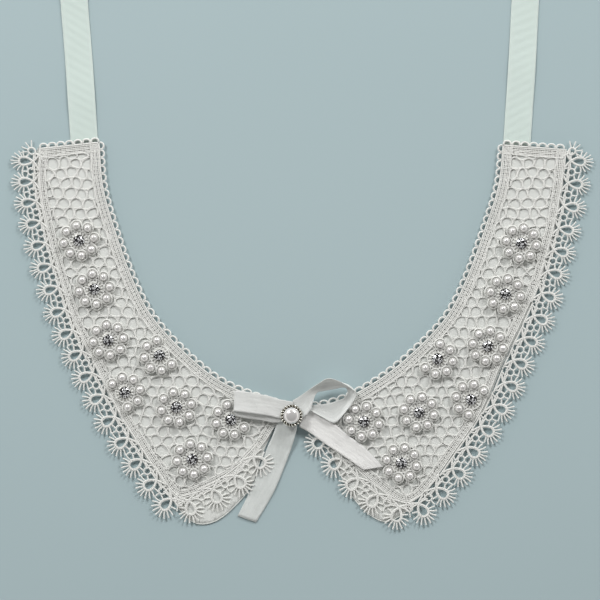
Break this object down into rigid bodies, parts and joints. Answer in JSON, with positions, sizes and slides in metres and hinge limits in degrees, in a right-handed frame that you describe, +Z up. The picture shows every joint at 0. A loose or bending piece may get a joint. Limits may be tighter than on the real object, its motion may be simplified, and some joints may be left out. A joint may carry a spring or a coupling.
{
  "type": "lace collar",
  "caption": "Detachable pointed collar of corded lace on a sheer lining, with pearl flowers, a satin bow and ribbon ties.",
  "frame": {"origin": "centre of the footprint, on the surface the collar lies on", "axes": "+Y from the front of the collar to the free ends of its ties, +Z up out of the face of the lace, +X to the right seen from above with the bow nearest the viewer"},
  "size_m": [0.318, 0.4622, 0.0114],
  "materials": {
    "lace": "matt corded guipure lace",
    "lining": "thin sheer plain weave",
    "satin": "satin ribbon with a soft sheen",
    "tie_ribbon": "fine-ribbed ribbon",
    "pearl": "pearl lacquer over beads",
    "crystal": "foil-backed cut glass",
    "setting": "pale gold plated rope edge"
  },
  "bodies": {
    "root": {"left_lining": "lining", "left_lace_ground": "lace", "left_lace_edging": "lace", "left_tie": "tie_ribbon", "right_lining": "lining", "right_lace_ground": "lace", "right_lace_edging": "lace", "right_tie": "tie_ribbon", "left_flower_1": "pearl", "left_flower_2": "pearl", "left_flower_3": "pearl", "left_flower_4": "pearl", "left_flower_5": "pearl", "left_flower_6": "pearl", "left_flower_7": "pearl", "left_flower_8": "pearl", "left_stone_1": "crystal", "left_stone_2": "crystal", "left_stone_3": "crystal", "left_stone_4": "crystal", "left_stone_5": "crystal", "left_stone_6": "crystal", "left_stone_7": "crystal", "left_stone_8": "crystal", "right_flower_1": "pearl", "right_flower_2": "pearl", "right_flower_3": "pearl", "right_flower_4": "pearl", "right_flower_5": "pearl", "right_flower_6": "pearl", "right_flower_7": "pearl", "right_flower_8": "pearl", "right_stone_1": "crystal", "right_stone_2": "crystal", "right_stone_3": "crystal", "right_stone_4": "crystal", "right_stone_5": "crystal", "right_stone_6": "crystal", "right_stone_7": "crystal", "right_stone_8": "crystal", "bow_left_loop": "satin", "bow_right_loop": "satin", "bow_left_tail": "satin", "bow_right_tail": "satin", "bow_button_setting": "setting", "bow_button_pearl": "pearl"}
  },
  "joints": []
}
